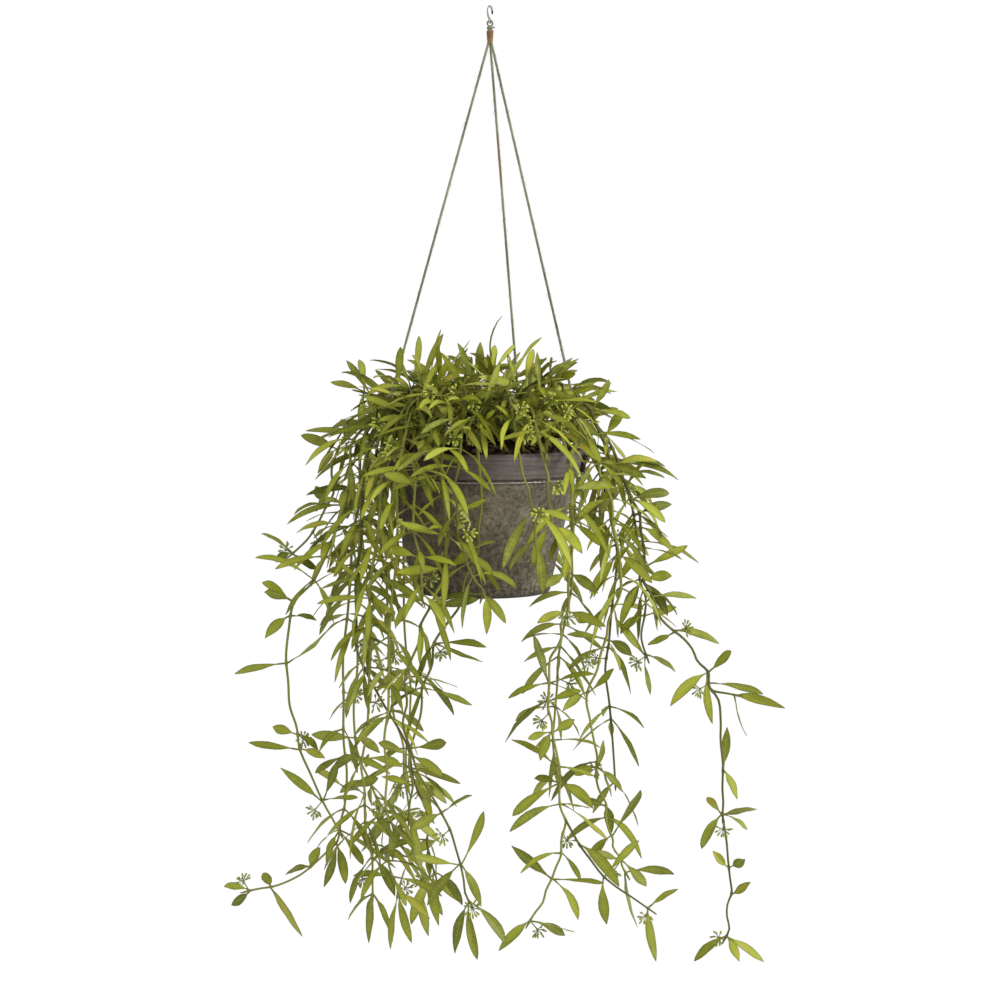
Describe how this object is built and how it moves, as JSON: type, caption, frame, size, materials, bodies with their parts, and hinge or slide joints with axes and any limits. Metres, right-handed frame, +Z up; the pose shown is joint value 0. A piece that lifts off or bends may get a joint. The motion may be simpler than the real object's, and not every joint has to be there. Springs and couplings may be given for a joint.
{
  "type": "potted hoya",
  "caption": "Weathered clay pot hung on taut twine ropes from a wire hook, filled with soil and a trailing plant with narrow paired leaves and small bud umbels on long hanging stems.",
  "frame": {"origin": "inner top of the hook's open curl, where a ceiling hook bears", "axes": "+Z up along the hanger, +X to the right as seen in the picture, +Y away from the viewer"},
  "size_m": [0.4614, 0.2604, 0.7918],
  "materials": {
    "clay": "unglazed, weathered, pitted and mottled",
    "soil": "dark planting mix with bark",
    "wire": "thin plain steel wire",
    "twine": "grey-green twisted twine",
    "jute": "brown jute thread",
    "leaf": "yellow-green waxy leaves, olive stems and pale yellow-green buds"
  },
  "bodies": {
    "root": {"hook": "wire", "pot": "clay", "rim_wire": "wire", "rope_back": "twine", "rope_left": "twine", "rope_loop": "twine", "rope_right": "twine", "shoot_01": "leaf", "shoot_02": "leaf", "shoot_03": "leaf", "shoot_04": "leaf", "shoot_05": "leaf", "shoot_06": "leaf", "shoot_07": "leaf", "shoot_08": "leaf", "shoot_09": "leaf", "shoot_10": "leaf", "shoot_11": "leaf", "soil": "soil", "stem_back_left": "leaf", "stem_back_long": "leaf", "stem_back_middle": "leaf", "stem_back_right": "leaf", "stem_front_left": "leaf", "stem_front_low": "leaf", "stem_front_right": "leaf", "stem_front_short": "leaf", "stem_front_side": "leaf", "stem_front_trail": "leaf", "stem_left_back": "leaf", "stem_left_bush": "leaf", "stem_left_far": "leaf", "stem_left_inner": "leaf", "stem_left_long": "leaf", "stem_left_low": "leaf", "stem_left_middle": "leaf", "stem_left_sweep": "leaf", "stem_right_back": "leaf", "stem_right_far": "leaf", "stem_right_hub": "leaf", "stem_right_inner": "leaf", "stem_right_long": "leaf", "stem_right_side": "leaf", "whipping": "jute"}
  },
  "joints": []
}
